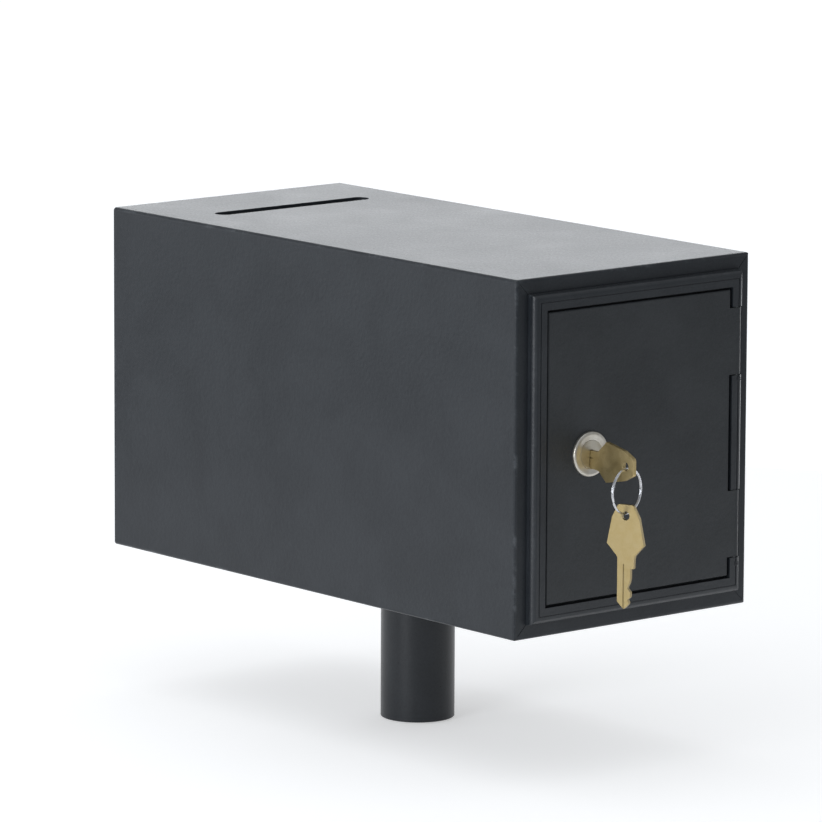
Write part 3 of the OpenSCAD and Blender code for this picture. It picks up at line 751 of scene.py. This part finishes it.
tube_low, tube_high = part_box("post_tube")
tube_r, tube_wall, tube_ease = (tube_high.x - tube_low.x) / 2, 2.1 * MM, 0.3 * MM
tube_mesh = lathe([
    (tube_r, tube_low.z + tube_ease), (tube_r, tube_high.z), (tube_r - tube_wall, tube_high.z),
    (tube_r - tube_wall, tube_low.z + tube_ease), (tube_r - tube_wall + tube_ease, tube_low.z),
    (tube_r - tube_ease, tube_low.z)], "post_round_tube", 128, closed=True)
smooth_below(tube_mesh, 30)
tube_mesh.materials.append(post_paint)
add_piece("post_round_tube", tube_mesh, "box", "post_tube")

weld_low, weld_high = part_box("post_weld")
weld_top = weld_high.z + 0.02 * MM
leg = (weld_high.x - weld_low.x) / 2 - tube_r
AROUND, ACROSS, HOLLOW = 420, 9, 0.28
RIPPLES, RIPPLE_DEPTH, SWELLS, SWELL_DEPTH = 21, 0.16, 5, 0.05
into_tube, root_r = 0.05 * MM, tube_r - 0.3 * MM
bead_points = []
for i in range(AROUND):
    angle = 2 * math.pi * i / AROUND
    ripple = (RIPPLE_DEPTH * abs(math.sin(angle * RIPPLES))
              + SWELL_DEPTH * math.sin(angle * SWELLS + 1))
    for j in range(ACROSS):
        lean = math.pi / 2 * j / (ACROSS - 1)
        reach = 1 - (ripple + HOLLOW) * math.sin(2 * lean)
        r = tube_r - into_tube + leg * 0.98 * math.cos(lean) * reach
        z = weld_top - leg * math.sin(lean) * reach
        bead_points.append((r * math.cos(angle), r * math.sin(angle), z))
    bead_points.append((root_r * math.cos(angle), root_r * math.sin(angle), weld_top))
bead = shape(bead_points, row_faces(AROUND, ACROSS + 1, True), "post_weld_bead")
bead.shade_smooth()
bead.materials.append(post_paint)
add_piece("post_weld_bead", bead, "box", "post_weld")


# ---------------------------------------------------------------- post bolts
# Four hexagon bolts come down through the plate and the floor of the box, with a flat washer
# under each head and a nut below. All are stock zinc-plated parts.

HEX_HALF, CORNER_TURNED, HEAD_TO_BOLT = math.pi / 6, 0.62, 1.67


def hexagon(corner_radius, height, bore, name):
    """A hexagon with its corners turned off at both ends, bored or solid."""
    blank = lathe([(corner_radius, 0), (corner_radius, height)], "blank", 6)
    hexed = bmesh.new()
    hexed.from_mesh(blank)
    bmesh.ops.holes_fill(hexed, edges=hexed.edges)
    bmesh.ops.recalc_face_normals(hexed, faces=hexed.faces)
    hexed.to_mesh(blank)
    hexed.free()
    flat = corner_radius * math.cos(HEX_HALF)
    drop = (corner_radius - flat) * CORNER_TURNED
    keep = lathe([(bore, 0), (flat, 0), (corner_radius, drop), (corner_radius, height - drop),
                  (flat, height), (bore, height)], "turned_blank", 48, closed=bool(bore))
    return cut_with(keep, blank, "INTERSECT", name)


bolt_low, bolt_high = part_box("mount_bolts")
nut_low, nut_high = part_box("mount_nuts")
washer_low, washer_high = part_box("mount_washers")
bolt_r, bolt_pitch, bolt_spacing = 3.0 * MM, 1.0 * MM, 62 * MM
corner_r = HEAD_TO_BOLT * bolt_r / math.cos(HEX_HALF)
bolt_length = washer_high.z - bolt_low.z
hex_head = hexagon(corner_r, bolt_high.z - washer_high.z, 0, "hex_head")
bolt_shank = threaded_rod(bolt_r - 0.02 * MM, bolt_length + 0.2 * MM, bolt_pitch, "bolt_shank",
                          segments=32)
bolt_shank.transform(Matrix.Translation((0, 0, -bolt_length)))
hex_bolt = joined("hex_bolt", hex_head, bolt_shank)
washer_r = (washer_high.x - washer_low.x - bolt_spacing) / 2
washer_t = washer_high.z - washer_low.z
flat_washer = lathe([
    (bolt_r + 0.2 * MM, 0), (bolt_r + 0.2 * MM, washer_t), (washer_r - 0.2 * MM, washer_t),
    (washer_r, washer_t - 0.25 * MM), (washer_r, 0.1 * MM), (washer_r - 0.1 * MM, 0)],
    "flat_washer", 64, closed=True)
hex_nut = hexagon(corner_r, nut_high.z - nut_low.z, bolt_r, "hex_nut")
for name, template, node, height in (
    ("post_hex_bolts", hex_bolt, "mount_bolts", washer_high.z),
    ("post_flat_washers", flat_washer, "mount_washers", washer_low.z),
    ("post_hex_nuts", hex_nut, "mount_nuts", nut_low.z),
):
    smooth_below(template, 32)
    at_places(name, template, [
        (x, y, height) for x in (washer_low.x + washer_r, washer_high.x - washer_r)
        for y in (washer_low.y + washer_r, washer_high.y - washer_r)], node)
